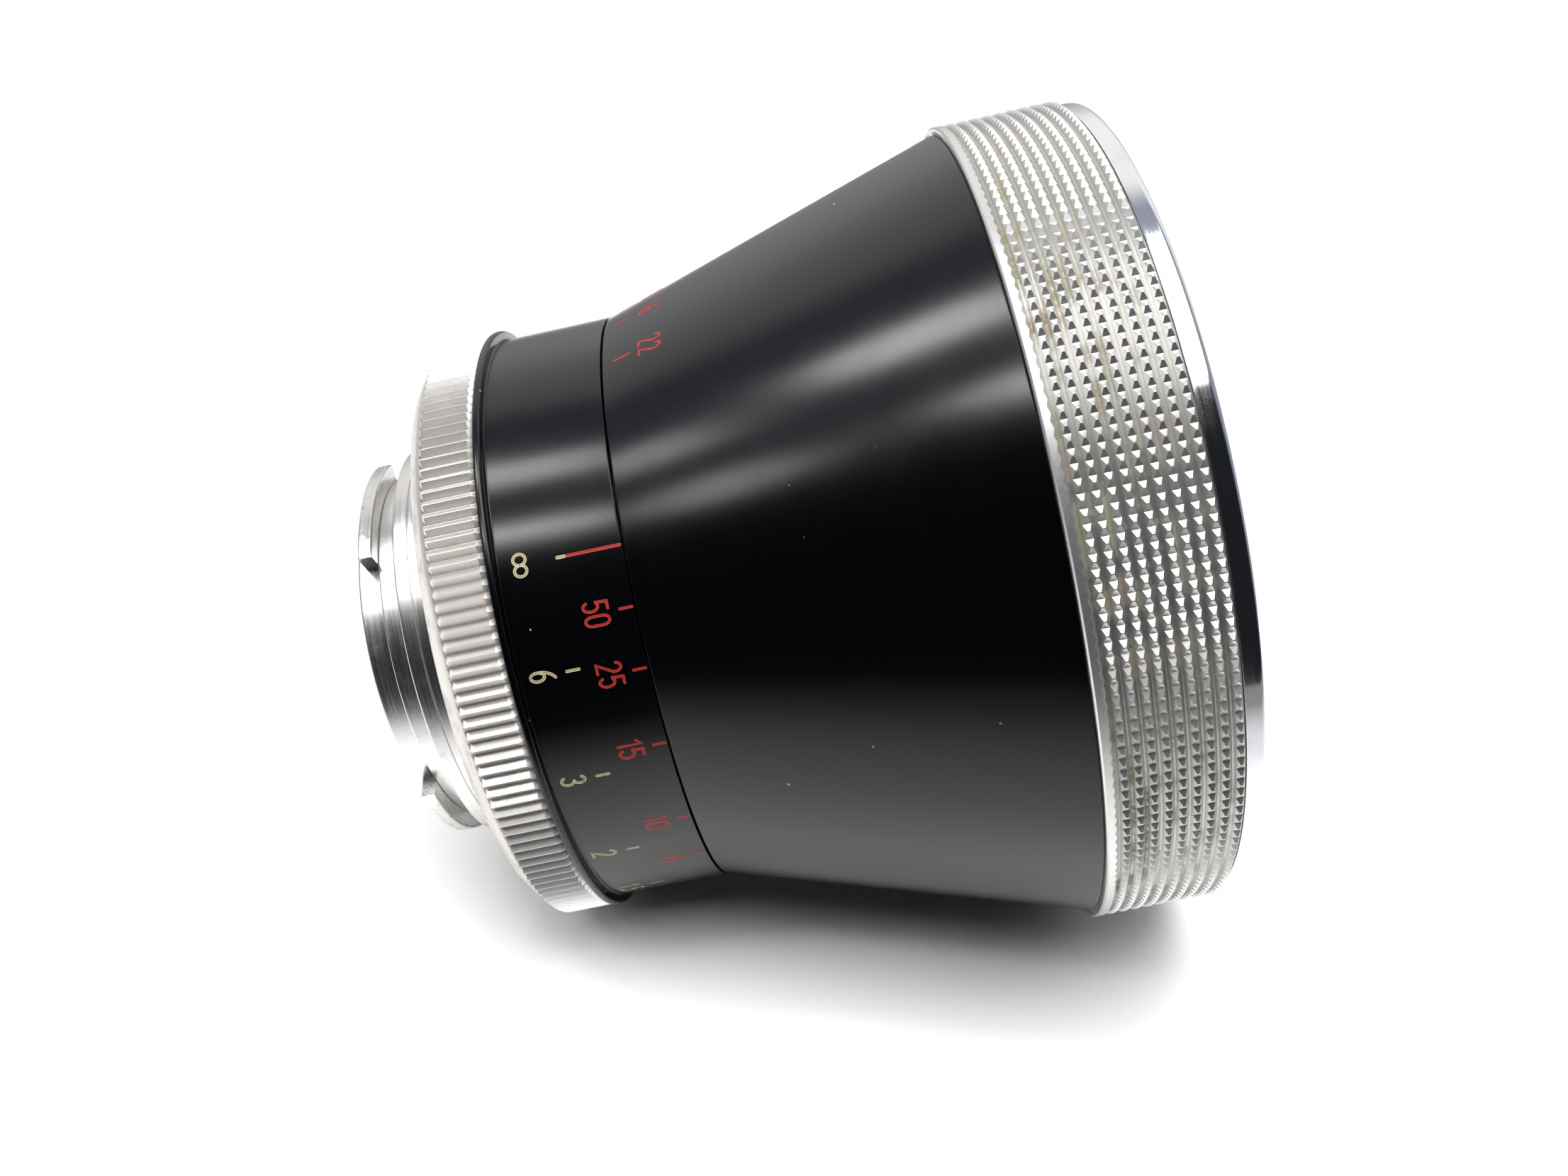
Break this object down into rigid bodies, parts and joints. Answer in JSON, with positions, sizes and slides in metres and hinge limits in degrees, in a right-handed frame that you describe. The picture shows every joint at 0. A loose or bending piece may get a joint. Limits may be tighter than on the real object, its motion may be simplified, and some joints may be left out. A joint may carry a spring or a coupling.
{
  "type": "prime camera lens",
  "caption": "Interchangeable lens with a bayonet mount, straight-knurled focusing ring, distance scale, flared black cone barrel and knurled chrome front ring with a filter thread.",
  "frame": {"origin": "on the optical axis, at the rear face of the bayonet flange that seats on the camera", "axes": "+Z along the optical axis towards the front of the lens; -Y towards the side of the barrel that carries the infinity mark"},
  "size_m": [0.066, 0.066, 0.0619],
  "materials": {
    "black_lacquer": "semi-gloss black lacquer with engraved red and cream marks",
    "satin_chrome": "satin chrome, knurled, with old dirt in the grooves",
    "polished_chrome": "polished chrome",
    "mount_metal": "turned and plated, worn to brass on the lug edges",
    "matt_black": "matt black anodised",
    "turned_aluminium": "turned, lightly greased",
    "brass": "turned brass",
    "steel": "blued screw steel",
    "coated_glass": "polished, with a violet-blue anti-reflection coating"
  },
  "bodies": {
    "mount": {"bayonet_mount": "mount_metal", "fixed_barrel": "turned_aluminium", "mount_screws": "steel", "guide_pins": "brass"},
    "focus_ring": {"focus_grip_ring": "satin_chrome", "distance_scale_sleeve": "black_lacquer", "helicoid_ring": "brass", "focus_stop_pin": "steel"},
    "front_barrel": {"slide_barrel": "turned_aluminium", "cone_barrel": "black_lacquer", "cone_grub_screws": "steel", "front_grip_ring": "satin_chrome", "front_bezel": "polished_chrome", "trim_ring": "matt_black", "front_cell": "matt_black", "front_element": "coated_glass", "second_element": "coated_glass", "inner_retaining_ring": "matt_black", "spacer_ring": "matt_black", "doublet_front": "coated_glass", "doublet_rear": "coated_glass", "rear_cell": "matt_black", "rear_element": "coated_glass", "rear_retaining_ring": "matt_black", "light_baffle": "matt_black"}
  },
  "joints": [
    {"name": "focus_turn", "type": "hinge", "parent": "mount", "child": "focus_ring", "pos_m": [0, 0, 0], "axis": [0, 0, 1], "range_deg": [-168, 0]},
    {"name": "focus_travel", "type": "slide", "parent": "mount", "child": "front_barrel", "axis": [0, 0, 1], "range_m": [0, 0.004]}
  ],
  "couplings": [
    {"joint": "focus_turn", "follows": "focus_travel", "rad_per_m": -733}
  ]
}
